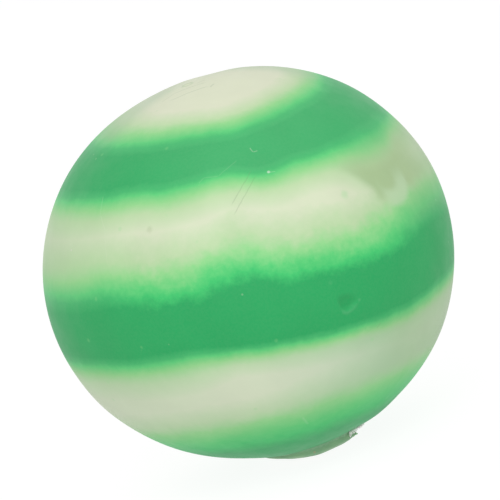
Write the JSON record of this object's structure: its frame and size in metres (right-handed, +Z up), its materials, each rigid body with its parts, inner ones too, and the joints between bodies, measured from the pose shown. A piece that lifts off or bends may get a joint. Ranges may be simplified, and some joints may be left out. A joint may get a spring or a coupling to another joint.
{
  "type": "squishy ball",
  "caption": "Hand-size squeeze ball: a clear rubber skin over drifting layers of green and cream dough, closed underneath by a glued patch that it stands on.",
  "frame": {"origin": "centre of the flat on the sealing patch that the ball stands on", "axes": "+Z up along the fill axis, from the patch through the stopper to the crown; -Y is the side that was pictured"},
  "size_m": [0.07, 0.07, 0.0674],
  "materials": {
    "clear_rubber": "clear, satin, slightly tacky",
    "green_dough": "matt dough seen through the skin",
    "cream_dough": "matt dough seen through the skin",
    "stopper_rubber": "satin",
    "patch_rubber": "satin, translucent",
    "set_glue": "set glue, pale, torn at one side"
  },
  "bodies": {
    "base": {"skin": "clear_rubber", "stopper": "stopper_rubber", "sealing_patch": "patch_rubber", "glue_bead": "set_glue", "glue_flash": "set_glue", "green_base_layer": "green_dough"},
    "crown": {"cream_crown": "cream_dough"},
    "green_upper": {"green_upper_layer": "green_dough"},
    "cream_upper": {"cream_upper_layer": "cream_dough"},
    "green_middle": {"green_middle_layer": "green_dough"},
    "cream_lower": {"cream_lower_layer": "cream_dough"}
  },
  "joints": [
    {"name": "squeeze", "type": "slide", "parent": "base", "child": "crown", "axis": [0, 0, -1], "range_m": [0, 0.024], "stiffness_N_per_m": 200, "springref_m": -0.005, "deforming": ["cream_crown", "skin", "green_base_layer"]},
    {"name": "green_upper_press", "type": "slide", "parent": "base", "child": "green_upper", "axis": [0, 0, -1], "range_m": [0, 0.02208], "stiffness_N_per_m": 200, "springref_m": -0.005, "deforming": ["green_upper_layer"]},
    {"name": "cream_upper_press", "type": "slide", "parent": "base", "child": "cream_upper", "axis": [0, 0, -1], "range_m": [0, 0.01896], "stiffness_N_per_m": 200, "springref_m": -0.005, "deforming": ["cream_upper_layer"]},
    {"name": "green_middle_press", "type": "slide", "parent": "base", "child": "green_middle", "axis": [0, 0, -1], "range_m": [0, 0.01224], "stiffness_N_per_m": 200, "springref_m": -0.005, "deforming": ["green_middle_layer"]},
    {"name": "cream_lower_press", "type": "slide", "parent": "base", "child": "cream_lower", "axis": [0, 0, -1], "range_m": [0, 0.00408], "stiffness_N_per_m": 200, "springref_m": -0.005, "deforming": ["cream_lower_layer"]}
  ],
  "couplings": [
    {"joint": "green_upper_press", "follows": "squeeze", "ratio": 0.92},
    {"joint": "cream_upper_press", "follows": "squeeze", "ratio": 0.79},
    {"joint": "green_middle_press", "follows": "squeeze", "ratio": 0.51},
    {"joint": "cream_lower_press", "follows": "squeeze", "ratio": 0.17}
  ]
}
